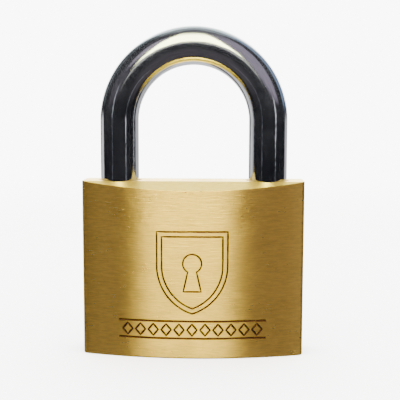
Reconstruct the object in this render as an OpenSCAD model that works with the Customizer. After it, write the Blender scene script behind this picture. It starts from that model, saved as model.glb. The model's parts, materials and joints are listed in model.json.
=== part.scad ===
// Solid brass padlock with a double-bolted bow shackle and a five-pin cylinder.
// Frame: origin at the middle of the body's underside, +Z up towards the bow of the
// shackle, +X towards the side where the shackle comes free (the toe), -Y the front face.
// The padlock is drawn closed but unlocked: the plug is turned to its open position,
// both bolts are drawn back, and the pins stand where the right key would set them.

/* [Body] */
// Width of the body, between its narrow sides
body_w = 50; // [49:0.5:52]
// Height of the body
body_h = 39.6; // [39.2:0.1:41]
// Thickness of the body at the middle of its bowed faces
body_t = 17.3; // [17:0.1:19]
// Thickness of the body at its narrow sides, before the corners are rounded
side_t = 8.9; // [8.8:0.1:9.6]
// Radius of the four upright corners
corner_r = 1; // [0.8:0.1:1]
// How far the sloping shoulders fall from the flat top to the bowed faces
shoulder_drop = 1.85; // [1:0.05:2.5]

/* [Shackle] */
// Diameter of the shackle's rod
shackle_d = 8.7; // [8.3:0.1:8.8]
// Distance between the middles of the two legs
leg_spacing = 33.7; // [33.5:0.1:34]
// Clear height inside the closed shackle, above the body
clear_h = 25.9; // [20:0.1:40]
// How far the shackle rises before the collar on its heel meets the retaining pin
lift = 14.2; // [13.8:0.1:14.2]
// Depth of the notches that the bolts enter
notch_depth = 1.8; // [1.7:0.1:2]

/* [Cylinder] */
// Diameter of the plug that the key turns
plug_d = 11.9; // [11.8:0.05:11.95]
// Diameter of the pins in the cylinder
pin_d = 2.8; // [2.6:0.1:2.8]
// Distance between neighbouring pins
pin_pitch = 3.7; // [3.6:0.1:3.7]
// Lengths of the key pins, from the mouth of the keyway inwards
key_pin_lengths = [3.2, 4.4, 3.6, 4.8, 4.0]; // [3:0.1:4.8]
// Length of every driver pin
driver_len = 4; // [3:0.5:4]

/* [Bolts] */
// Diameter of the two locking bolts
bolt_d = 5.9; // [5.7:0.1:5.9]
// How far each bolt travels between unlocked and locked
stroke = 2; // [1.8:0.1:2]
// How far the axis of the bolts lies below the top of the body
bolt_drop = 7; // [6.8:0.1:7.2]

/* [Hidden] */
$fn = 64;

brass = [0.86, 0.73, 0.40];
pin_brass = [0.80, 0.64, 0.30];
chrome = [0.35, 0.37, 0.42];
steel = [0.62, 0.64, 0.67];
spring_steel = [0.50, 0.52, 0.55];

cut = 1;             // how far a cutting shape runs past the surface that it opens
press_gap = 0.01;    // between a pressed-in piece and its hole
run_gap = 0.05;      // between a turning or sliding piece and its bore
touch = 0.02;        // left at each end of a spring

// Bowed faces: arcs through the edges of the narrow sides, with rounded upright corners
side_x = body_w / 2;
bulge = (body_t - side_t) / 2;
face_r = (side_x * side_x + bulge * bulge) / (2 * bulge);
face_centre = face_r - body_t / 2;
corner_x = side_x - corner_r;
corner_y = sqrt(pow(face_r - corner_r, 2) - corner_x * corner_x) - face_centre;
tangent_x = corner_x * face_r / (face_r - corner_r);

// Shackle
rod_r = shackle_d / 2;
leg_x = leg_spacing / 2;
bow_z = body_h + clear_h - (leg_x - rod_r);
leg_bore_r = rod_r + 0.2;
countersink = 0.5;
heel_bore_z = 3;
heel_z = 12;
collar_h = 2.4;
neck_top_z = 21;
neck_r = 2.2;
groove_top_z = 31;
groove_depth = 1.5;
toe_bore_z = 25;
toe_z = 25.8;
tip_bevel = 0.8;
shackle_pin_r = 1;
shackle_pin_z = heel_z + collar_h + lift + 0.1 + shackle_pin_r;
shackle_pin_reach = 1.3;

// Bolts, which lie on one axis and pass each other as half-round arms
bolt_z = body_h - bolt_drop;
bolt_r = bolt_d / 2;
bolt_bore_r = bolt_r + run_gap;
notch_half = bolt_r + 0.25;
nose_x = leg_x - leg_bore_r - 0.1;
shoulder_x = 4.5;
arm_x = 3.6;
arm_gap = 0.1;
nose_bevel = 2.3;
pocket_r = 1.2;
pocket_y = -1.5;
pocket_end = 10;
bore_plug_x = leg_x + leg_bore_r + 0.45;

// Cam: its two pegs stand a quarter turn apart from where they carry the bolts home
peg_r = 0.7;
peg_offset = stroke / 2;
peg_slack = 0.12;
peg_z = bolt_z - 0.2;
passage_r = 2.6;

// Cylinder
plug_r = plug_d / 2;
plug_bore_r = plug_r + run_gap;
plug_z = 0.3;
plug_top = 24;
plug_bore_top = 27;
cam_z = plug_top + 0.2;
cam_top = plug_bore_top - 0.2;
tail = [3, 1.8];
groove_z = [20.6, 22.8];
plug_groove_r = plug_r - 1.1;
plug_pin_r = 1;
plug_pin_x = -(plug_groove_r + plug_pin_r + run_gap);
plug_pin_z = (groove_z[0] + groove_z[1]) / 2;
plug_pin_end = sqrt(face_r * face_r - plug_pin_x * plug_pin_x) - face_centre - 0.05;
plug_pin_start = -3;

// Pins, numbered from the mouth of the keyway inwards
pin_r = pin_d / 2;
chamber_r = pin_r + run_gap;
first_pin_z = 3.6;
pin_z = [for (i = [0 : 4]) first_pin_z + i * pin_pitch];
chamber_floor = 0.3;
pin_end = plug_r - 0.25;
pin_tip = 0.4;
driver_x = plug_bore_r + 0.05;
driver_end = driver_x + driver_len;
chamber_plug_x = 20;

// Keyway, stepped to one side as a key's profile is
keyway_top = 20;
keyway_w = 1.5;
keyway_y = [-4.6, 3.5];
ward_w = 0.7;

// Springs: [middle radius of the coil, radius of the wire, turns]
shackle_spring_size = [2.9, 0.4, 6];
bolt_spring_size = [0.8, 0.16, 7];
pin_spring_size = [1, 0.18, 8];

// Round bar along X from x0 to x1
module bar_x(r, x0, x1, y = 0, z = 0) {
    translate([x0, y, z]) rotate([0, 90, 0]) cylinder(r = r, h = x1 - x0);
}

// Round bar along Y from y0 to y1
module bar_y(r, y0, y1, x = 0, z = 0) {
    translate([x, y0, z]) rotate([-90, 0, 0]) cylinder(r = r, h = y1 - y0);
}

// Upright round bar from z0 to z1
module bar_z(r, z0, z1, x = 0, y = 0) {
    translate([x, y, z0]) cylinder(r = r, h = z1 - z0);
}

// Pin along its own axis, with bevelled ends
module bevelled_pin(r, length) {
    bevel_r = r - pin_tip / 2;
    cylinder(r1 = bevel_r, r2 = r, h = pin_tip);
    translate([0, 0, pin_tip]) cylinder(r = r, h = length - 2 * pin_tip);
    translate([0, 0, length - pin_tip]) cylinder(r1 = r, r2 = bevel_r, h = pin_tip);
}

// Coil spring along +Z from 0 to length, from its size [coil radius, wire radius, turns]
module coil_spring(size, length) {
    sides = 6;
    steps = 10;
    rings = size[2] * steps;
    rise = (length - 2 * size[1] - 2 * touch) / rings;
    points = [for (k = [0 : rings], j = [0 : sides - 1])
        let (turn = 360 * k / steps, side = 360 * j / sides,
             reach = size[0] + size[1] * cos(side))
        [reach * cos(turn), reach * sin(turn), touch + size[1] + rise * k + size[1] * sin(side)]];
    wall = [for (k = [0 : rings - 1], j = [0 : sides - 1], half = [0, 1])
        let (here = k * sides, next = (j + 1) % sides)
        half == 0 ? [here + j, here + next, here + sides + next]
                  : [here + j, here + sides + next, here + sides + j]];
    start = [for (j = [0 : sides - 1]) sides - 1 - j];
    end = [for (j = [0 : sides - 1]) rings * sides + j];
    polyhedron(points = points, faces = concat(wall, [start, end]), convexity = 10);
}

// Plan of the body: two shallow arcs between flat narrow sides
module body_outline() {
    intersection() {
        translate([0, face_centre]) circle(r = face_r, $fn = 240);
        translate([0, -face_centre]) circle(r = face_r, $fn = 240);
        square([2 * tangent_x, body_t + cut], center = true);
    }
    square([body_w, 2 * corner_y], center = true);
    for (sx = [-1, 1], sy = [-1, 1])
        translate([sx * corner_x, sy * corner_y]) circle(r = corner_r);
}

// Wedge that slopes the top of the body down to one bowed face
module shoulder_cut() {
    top_y = side_t / 2;
    slope = shoulder_drop / (body_t / 2 - top_y);
    past_y = body_t / 2 + cut;
    translate([-side_x - cut, 0, 0]) rotate([90, 0, 90]) linear_extrude(body_w + 2 * cut)
        polygon([[top_y, body_h], [past_y, body_h - slope * (past_y - top_y)],
                 [past_y, body_h + cut], [top_y, body_h + cut]]);
}

// Bore for one leg of the shackle, open at the top, with a countersunk mouth
module leg_bore(x, floor_z) {
    bar_z(leg_bore_r, floor_z, body_h + cut, x);
    translate([x, 0, body_h - countersink])
        cylinder(r1 = leg_bore_r, r2 = leg_bore_r + countersink + cut, h = countersink + cut);
}

module body() {
    color(brass) difference() {
        linear_extrude(body_h) body_outline();
        shoulder_cut();
        mirror([0, 1, 0]) shoulder_cut();
        leg_bore(leg_x, toe_bore_z);
        leg_bore(-leg_x, heel_bore_z);
        bar_x(bolt_bore_r, -leg_x, side_x + cut, z = bolt_z);
        bar_z(plug_bore_r, -cut, plug_bore_top);
        bar_z(passage_r, plug_bore_top - cut, bolt_z);
        for (z = pin_z)
            bar_x(chamber_r, plug_bore_r - cut, side_x + cut, z = z);
        bar_y(plug_pin_r + press_gap, plug_pin_start - touch, body_t, plug_pin_x, plug_pin_z);
        bar_x(shackle_pin_r + press_gap, -side_x - cut, -leg_x - 3, z = shackle_pin_z);
    }
}

// Notch for a bolt, in the inner side of a leg that stands on the +X side
module leg_notch() {
    translate([leg_x - rod_r - cut, -rod_r - cut, bolt_z - notch_half])
        cube([notch_depth + cut, 2 * (rod_r + cut), 2 * notch_half]);
}

// Foot of the heel leg: a collar under a waisted neck
module heel_foot() {
    translate([-leg_x, 0, heel_z]) cylinder(r1 = rod_r - tip_bevel, r2 = rod_r, h = tip_bevel);
    bar_z(rod_r, heel_z + tip_bevel, heel_z + collar_h, -leg_x);
    bar_z(neck_r, heel_z + collar_h, neck_top_z, -leg_x);
}

module shackle() {
    color(chrome) difference() {
        union() {
            translate([0, 0, bow_z]) rotate([90, 0, 0])
                rotate_extrude(angle = 180) translate([leg_x, 0]) circle(r = rod_r);
            translate([leg_x, 0, toe_z]) cylinder(r1 = rod_r - tip_bevel, r2 = rod_r, h = tip_bevel);
            bar_z(rod_r, toe_z + tip_bevel, bow_z, leg_x);
            bar_z(rod_r, neck_top_z, bow_z, -leg_x);
            heel_foot();
        }
        leg_notch();
        mirror([1, 0, 0]) leg_notch();
        translate([-leg_x - rod_r - cut, -rod_r - cut, neck_top_z - cut])
            cube([groove_depth + cut, 2 * (rod_r + cut), groove_top_z - neck_top_z + cut]);
    }
}

module shackle_spring() {
    color(spring_steel) translate([-leg_x, 0, heel_bore_z])
        coil_spring(shackle_spring_size, heel_z - heel_bore_z);
}

module shackle_retaining_pin() {
    color(brass) bar_x(shackle_pin_r, -side_x, -leg_x - leg_bore_r + shackle_pin_reach,
                       z = shackle_pin_z);
}

// Locking bolt that moves towards +X: round nose, and a half-round arm behind the axis
module bolt() {
    difference() {
        union() {
            bar_x(bolt_r, shoulder_x, nose_x, z = bolt_z);
            intersection() {
                bar_x(bolt_r, -arm_x, shoulder_x + cut, z = bolt_z);
                translate([-side_x, arm_gap, bolt_z - bolt_d]) cube([body_w, bolt_d, 2 * bolt_d]);
            }
        }
        translate([-peg_offset - peg_r - peg_slack, -cut, bolt_z - bolt_d])
            cube([2 * (peg_r + peg_slack), cut + peg_offset * sqrt(2) + peg_r + peg_slack, bolt_d + 0.1]);
        translate([nose_x, bolt_d, bolt_z + bolt_r]) rotate([90, 0, 0]) linear_extrude(2 * bolt_d)
            polygon([[-nose_bevel, 0], [cut, -nose_bevel - cut], [cut, cut], [-nose_bevel, cut]]);
    }
}

module toe_bolt() {
    color(steel) difference() {
        bolt();
        bar_x(pocket_r, shoulder_x - cut, pocket_end, pocket_y, bolt_z);
    }
}

module heel_bolt() {
    color(steel) rotate([0, 0, 180]) bolt();
}

module bolt_spring() {
    color(spring_steel) translate([arm_x, pocket_y, bolt_z]) rotate([0, 90, 0])
        coil_spring(bolt_spring_size, pocket_end - arm_x);
}

module bolt_bore_plug() {
    color(brass) bar_x(bolt_bore_r - press_gap, bore_plug_x, side_x, z = bolt_z);
}

// Slot that the key enters, seen from below, with one ward on each side
module keyway() {
    translate([-keyway_w / 2, keyway_y[0]]) square([keyway_w, keyway_y[1] - keyway_y[0]]);
    translate([-keyway_w / 2 - ward_w, -2.6]) square([keyway_w / 2 + ward_w, 1.4]);
    translate([0, 0.2]) square([keyway_w / 2 + ward_w, 1.5]);
}

module cylinder_plug() {
    color(pin_brass) {
        difference() {
            bar_z(plug_r, plug_z, plug_top);
            difference() {
                bar_z(plug_r + cut, groove_z[0], groove_z[1]);
                bar_z(plug_groove_r, groove_z[0] - cut, groove_z[1] + cut);
            }
            translate([0, 0, plug_z - cut]) linear_extrude(keyway_top - plug_z + cut) keyway();
            for (z = pin_z) bar_y(chamber_r, chamber_floor, plug_r + cut, z = z);
        }
        translate([-tail[0] / 2, -tail[1] / 2, plug_top - cut]) cube([tail[0], tail[1], cut + 2]);
    }
}

module cam() {
    color(steel) {
        difference() {
            bar_z(plug_r, cam_z, cam_top);
            translate([-tail[0] / 2 - run_gap, -tail[1] / 2 - run_gap, cam_z - cut])
                cube([tail[0] + 2 * run_gap, tail[1] + 2 * run_gap, cut + plug_top + 2.1 - cam_z]);
        }
        bar_z(peg_r, cam_top - 0.3, peg_z, -peg_offset, peg_offset);
        bar_z(peg_r, cam_top - 0.3, peg_z, peg_offset, -peg_offset);
    }
}

module plug_retaining_pin() {
    color(brass) bar_y(plug_pin_r, plug_pin_start, plug_pin_end, plug_pin_x, plug_pin_z);
}

// Key pin number i, in the plug, pointing to the back while the plug is turned open
module key_pin(i) {
    color(pin_brass) translate([0, pin_end - key_pin_lengths[i - 1], pin_z[i - 1]])
        rotate([-90, 0, 0]) bevelled_pin(pin_r, key_pin_lengths[i - 1]);
}

module driver_pin(i) {
    color(steel) translate([driver_x, 0, pin_z[i - 1]]) rotate([0, 90, 0])
        bevelled_pin(pin_r, driver_len);
}

module pin_spring(i) {
    color(spring_steel) translate([driver_end, 0, pin_z[i - 1]]) rotate([0, 90, 0])
        coil_spring(pin_spring_size, chamber_plug_x - driver_end);
}

module chamber_plug(i) {
    color(brass) bar_x(chamber_r - press_gap, chamber_plug_x, side_x, z = pin_z[i - 1]);
}

body();
shackle();
shackle_spring();
shackle_retaining_pin();
toe_bolt();
heel_bolt();
bolt_spring();
bolt_bore_plug();
cylinder_plug();
cam();
plug_retaining_pin();
for (i = [1 : 5]) {
    key_pin(i);
    driver_pin(i);
    pin_spring(i);
    chamber_plug(i);
}
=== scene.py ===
"""Solid brass padlock with a chromed steel shackle, dressed for a plain pale studio.

Every length is in metres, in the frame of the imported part: +Z up towards the bow of the
shackle, +X towards the toe, -Y the decorated front face.
"""

import json
import logging
import math
from dataclasses import dataclass, field
from enum import Enum
from typing import Callable, Iterable, Sequence

import bmesh
import bpy
from mathutils import Matrix, Vector

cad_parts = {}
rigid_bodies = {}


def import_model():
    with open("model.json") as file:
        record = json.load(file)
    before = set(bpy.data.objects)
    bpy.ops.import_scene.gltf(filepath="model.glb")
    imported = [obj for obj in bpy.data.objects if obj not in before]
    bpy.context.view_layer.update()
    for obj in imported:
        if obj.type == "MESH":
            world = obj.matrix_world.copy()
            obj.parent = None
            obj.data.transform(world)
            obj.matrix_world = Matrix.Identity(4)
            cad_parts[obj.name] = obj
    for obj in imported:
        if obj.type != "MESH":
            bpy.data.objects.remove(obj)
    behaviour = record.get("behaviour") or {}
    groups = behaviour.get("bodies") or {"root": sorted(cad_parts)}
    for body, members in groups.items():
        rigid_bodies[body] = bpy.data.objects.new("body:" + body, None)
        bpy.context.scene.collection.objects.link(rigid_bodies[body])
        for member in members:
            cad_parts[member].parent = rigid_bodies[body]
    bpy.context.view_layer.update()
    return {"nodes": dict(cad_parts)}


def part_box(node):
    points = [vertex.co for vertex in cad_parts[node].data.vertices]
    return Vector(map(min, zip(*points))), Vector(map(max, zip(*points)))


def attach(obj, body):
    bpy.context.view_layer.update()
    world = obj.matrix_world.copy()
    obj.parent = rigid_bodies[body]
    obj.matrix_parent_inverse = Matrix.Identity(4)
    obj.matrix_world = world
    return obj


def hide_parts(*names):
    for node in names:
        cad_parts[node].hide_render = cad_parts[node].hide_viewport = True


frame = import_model()

log = logging.getLogger("padlock")

MM = 0.001
MERGE = 1e-7
HALF_TURN = math.pi
FULL_TURN = 2 * math.pi

# How far a cutting solid runs past the surface that it opens.
PAST = 1 * MM
# The gap that a bore leaves round a pressed pin or plug.
PRESS_GAP = 0.01 * MM

Colour = tuple[float, float, float]
Profile = Sequence[tuple[float, float]]


# ---------------------------------------------------------------- choices


class Along(Enum):
    """The direction in which a turned or drilled piece runs."""

    RIGHT = "X"
    BACK = "Y"
    UP = "Z"

    def turn(self) -> Matrix:
        """Returns the rotation that carries +Z onto this direction."""
        if self is Along.RIGHT:
            return Matrix.Rotation(HALF_TURN / 2, 4, "Y")
        if self is Along.BACK:
            return Matrix.Rotation(-HALF_TURN / 2, 4, "X")
        return Matrix.Identity(4)


class Grain(Enum):
    """How the brushing or drawing lines of a finish lie: scales per metre on X, Y and Z."""

    ROUND_THE_SIDES = (520.0, 520.0, 2700.0)
    ACROSS_THE_TOP = (760.0, 3800.0, 3800.0)
    ALONG_THE_ROD = (3000.0, 3000.0, 260.0)
    TURNED = (2400.0, 2400.0, 2400.0)


# ---------------------------------------------------------------- mesh helpers


def new_piece(name: str, bm: bmesh.types.BMesh, materials: Iterable[bpy.types.Material]) -> bpy.types.Object:
    """Makes an object of a finished bmesh, with smooth shading between its sharp edges.

    Args:
        name: The piece's name.
        bm: The mesh, which is freed.
        materials: The materials of its slots, in order.

    Returns:
        The new object, at the origin.
    """
    bmesh.ops.remove_doubles(bm, verts=bm.verts[:], dist=MERGE)
    bmesh.ops.recalc_face_normals(bm, faces=bm.faces[:])
    mesh = bpy.data.meshes.new(name)
    bm.to_mesh(mesh)
    bm.free()
    piece = bpy.data.objects.new(name, mesh)
    bpy.context.scene.collection.objects.link(piece)
    for material in materials:
        mesh.materials.append(material)
    shade(piece)
    return piece


def shade(piece: bpy.types.Object, angle: float = math.radians(35)) -> None:
    """Shades a piece smoothly, with edges sharper than an angle kept sharp.

    Args:
        piece: The piece.
        angle: The sharpest angle, in radians, that is still smooth.
    """
    mesh = piece.data
    mesh.polygons.foreach_set("use_smooth", [True] * len(mesh.polygons))
    mesh.set_sharp_from_angle(angle=angle)


def weight_normals(piece: bpy.types.Object) -> None:
    """Lets a piece's broad faces keep their own normals beside its small bevels."""
    modifier = piece.modifiers.new("weighted normals", "WEIGHTED_NORMAL")
    modifier.mode = "FACE_AREA"
    modifier.weight = 80
    modifier.keep_sharp = True


def lathe(profile: Profile, origin: Vector, along: Along = Along.UP, steps: int = 64) -> bmesh.types.BMesh:
    """Turns a profile into a closed solid.

    Args:
        profile: Radius and height of each corner, from the foot to the tip; it starts and
            ends on the axis.
        origin: Where the profile's height of 0 lies.
        along: The direction of the axis.
        steps: The number of faces round the solid.

    Returns:
        The solid's bmesh.
    """
    bm = bmesh.new()
    verts = [bm.verts.new((radius, 0.0, height)) for radius, height in profile]
    edges = [bm.edges.new(pair) for pair in zip(verts, verts[1:])]
    bmesh.ops.spin(bm, geom=verts + edges, cent=(0, 0, 0), axis=(0, 0, 1),
                   angle=FULL_TURN, steps=steps, use_merge=True)
    bmesh.ops.remove_doubles(bm, verts=bm.verts[:], dist=MERGE)
    bmesh.ops.recalc_face_normals(bm, faces=bm.faces[:])
    bmesh.ops.transform(bm, matrix=Matrix.Translation(origin) @ along.turn(), verts=bm.verts[:])
    return bm


def bar_profile(radius: float, length: float, bevel: float) -> Profile:
    """Returns the lathe profile of a round bar with bevelled ends.

    Args:
        radius: The bar's radius.
        length: The bar's length.
        bevel: The width of the bevel at each end.
    """
    return [(0, 0), (radius - bevel, 0), (radius, bevel), (radius, length - bevel),
            (radius - bevel, length), (0, length)]


def bore_profile(radius: float, length: float, mouth: float = 0.0, past: float = PAST) -> Profile:
    """Returns the lathe profile of a drill that leaves a bore with a countersunk mouth.

    Args:
        radius: The bore's radius.
        length: Its depth, from its floor to the surface that it opens.
        mouth: How far the mouth is widened.
        past: How far the drill runs past the surface.
    """
    if mouth <= 0:
        return [(0, 0), (radius, 0), (radius, length + past), (0, length + past)]
    return [(0, 0), (radius, 0), (radius, length - mouth), (radius + mouth + past, length + past),
            (0, length + past)]


def block(low: Vector, high: Vector, bevel: float = 0.0) -> bmesh.types.BMesh:
    """Makes a box between two corners.

    Args:
        low: The lowest corner.
        high: The highest corner.
        bevel: The radius of its rounded edges.

    Returns:
        The box's bmesh.
    """
    bm = bmesh.new()
    bmesh.ops.create_cube(bm, size=1.0)
    size = high - low
    bmesh.ops.scale(bm, vec=size, verts=bm.verts[:])
    bmesh.ops.translate(bm, vec=(low + high) / 2, verts=bm.verts[:])
    if bevel > 0:
        round_edges(bm, bm.edges[:], bevel)
    return bm


def round_edges(bm: bmesh.types.BMesh, edges: Sequence[bmesh.types.BMEdge], width: float,
                segments: int = 3) -> None:
    """Rounds edges of a bmesh.

    Args:
        bm: The mesh.
        edges: The edges to round.
        width: The bevel's width.
        segments: The number of faces across it.
    """
    bmesh.ops.bevel(bm, geom=list(edges), offset=width, offset_type="OFFSET", segments=segments,
                    profile=0.5, affect="EDGES", clamp_overlap=True, material=-1)


def sharp_edges(bm: bmesh.types.BMesh, angle: float = math.radians(14)) -> list[bmesh.types.BMEdge]:
    """Returns the edges of a bmesh whose faces meet at more than an angle."""
    return [e for e in bm.edges if len(e.link_faces) == 2 and e.calc_face_angle(0.0) > angle]


def cut_away(piece: bpy.types.Object, cutters: Sequence[bpy.types.Object]) -> None:
    """Cuts solids out of a piece and removes them. The new faces keep the cutters' materials.

    Args:
        piece: The piece that is cut.
        cutters: The solids, which may overlap one another.
    """
    group = bpy.data.collections.new("cutters")
    bpy.context.scene.collection.children.link(group)
    for cutter in cutters:
        bpy.context.scene.collection.objects.unlink(cutter)
        group.objects.link(cutter)
    modifier = piece.modifiers.new("cut", "BOOLEAN")
    modifier.operation = "DIFFERENCE"
    modifier.operand_type = "COLLECTION"
    modifier.collection = group
    modifier.solver = "EXACT"
    modifier.material_mode = "TRANSFER"
    bake_modifiers(piece)
    for cutter in list(group.objects):
        bpy.data.objects.remove(cutter)
    bpy.data.collections.remove(group)
    shade(piece)


def bake_modifiers(piece: bpy.types.Object) -> None:
    """Applies a piece's modifiers to its mesh."""
    bpy.context.view_layer.update()
    graph = bpy.context.evaluated_depsgraph_get()
    mesh = bpy.data.meshes.new_from_object(piece.evaluated_get(graph), depsgraph=graph)
    old = piece.data
    piece.modifiers.clear()
    piece.data = mesh
    bpy.data.meshes.remove(old)


def install(piece: bpy.types.Object, body: str, slot: str, *nodes: str) -> bpy.types.Object:
    """Puts a finished piece in the part.

    Args:
        piece: The piece.
        body: The moving body that it rides on.
        slot: The record's material slot for its finish; not used.
        nodes: The CAD nodes that it stands for.

    Returns:
        The same piece.
    """
    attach(piece, body)
    if nodes:
        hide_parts(*nodes)
    log.info("%s: %d faces, rides on %s", piece.name, len(piece.data.polygons), body)
    return piece


# ---------------------------------------------------------------- shader helpers


class Shader:
    """A node tree with short ways to add nodes and join them."""

    def __init__(self, tree: bpy.types.NodeTree) -> None:
        """Takes the tree that nodes are added to."""
        self.tree = tree

    def node(self, kind: str, **settings: object) -> bpy.types.Node:
        """Adds a node.

        Args:
            kind: The node's type, without its ShaderNode prefix.
            settings: Attributes of the node.

        Returns:
            The node.
        """
        made = self.tree.nodes.new("ShaderNode" + kind)
        for name, value in settings.items():
            setattr(made, name, value)
        return made

    def link(self, start: bpy.types.NodeSocket, end: bpy.types.NodeSocket) -> None:
        """Joins an output to an input."""
        self.tree.links.new(start, end)

    def feed(self, socket: bpy.types.NodeSocket, value: object) -> None:
        """Joins a socket to an input, or sets the input to a constant."""
        if isinstance(value, bpy.types.NodeSocket):
            self.link(value, socket)
        else:
            socket.default_value = value

    def math(self, operation: str, *values: object, clamp: bool = False) -> bpy.types.NodeSocket:
        """Adds a Math node on sockets or constants and returns its output."""
        made = self.node("Math", operation=operation, use_clamp=clamp)
        for socket, value in zip(made.inputs, values):
            self.feed(socket, value)
        return made.outputs[0]

    def spread(self, value: object, low: float, high: float, to_low: float = 0.0,
               to_high: float = 1.0) -> bpy.types.NodeSocket:
        """Adds a smooth Map Range from one pair of limits to another and returns its output."""
        made = self.node("MapRange", interpolation_type="SMOOTHSTEP", clamp=True)
        for name, number in (("From Min", low), ("From Max", high), ("To Min", to_low), ("To Max", to_high)):
            made.inputs[name].default_value = number
        self.feed(made.inputs["Value"], value)
        return made.outputs["Result"]

    def mix(self, factor: object, a: object, b: object, blend: str = "MIX") -> bpy.types.NodeSocket:
        """Adds a colour Mix node and returns its colour."""
        made = self.node("Mix", data_type="RGBA", blend_type=blend)
        self.feed(made.inputs[0], factor)
        for socket, value in ((made.inputs[6], a), (made.inputs[7], b)):
            self.feed(socket, (*value, 1.0) if isinstance(value, tuple) and len(value) == 3 else value)
        return made.outputs[2]

    def noise(self, vector: bpy.types.NodeSocket, scale: float = 1.0, detail: float = 2.0,
              roughness: float = 0.5) -> bpy.types.NodeSocket:
        """Adds a noise texture and returns its value."""
        made = self.node("TexNoise", noise_dimensions="3D")
        made.inputs["Scale"].default_value = scale
        made.inputs["Detail"].default_value = detail
        made.inputs["Roughness"].default_value = roughness
        self.link(vector, made.inputs["Vector"])
        return made.outputs["Fac"]

    def stretched(self, vector: bpy.types.NodeSocket, scale: Sequence[float],
                  shift: Sequence[float] = (0.0, 0.0, 0.0)) -> bpy.types.NodeSocket:
        """Adds a Mapping that scales a vector and returns it."""
        made = self.node("Mapping")
        made.inputs["Location"].default_value = shift
        made.inputs["Scale"].default_value = scale
        self.link(vector, made.inputs["Vector"])
        return made.outputs["Vector"]


def new_group(name: str, inputs: dict[str, float], outputs: dict[str, str]) -> tuple[Shader, dict, dict]:
    """Starts a shader node group that reads a vector and some numbers.

    Args:
        name: The group's name.
        inputs: Each number's name and default.
        outputs: Each output's name and socket type.

    Returns:
        The shader helper of the group, its input sockets and its output sockets, by name.
    """
    tree = bpy.data.node_groups.new(name, "ShaderNodeTree")
    tree.interface.new_socket("Vector", in_out="INPUT", socket_type="NodeSocketVector")
    for label, value in inputs.items():
        socket = tree.interface.new_socket(label, in_out="INPUT", socket_type="NodeSocketFloat")
        socket.default_value = value
    for label, kind in outputs.items():
        tree.interface.new_socket(label, in_out="OUTPUT", socket_type=kind)
    shader = Shader(tree)
    start, end = tree.nodes.new("NodeGroupInput"), tree.nodes.new("NodeGroupOutput")
    return shader, {s.name: s for s in start.outputs}, {s.name: s for s in end.inputs}


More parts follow.
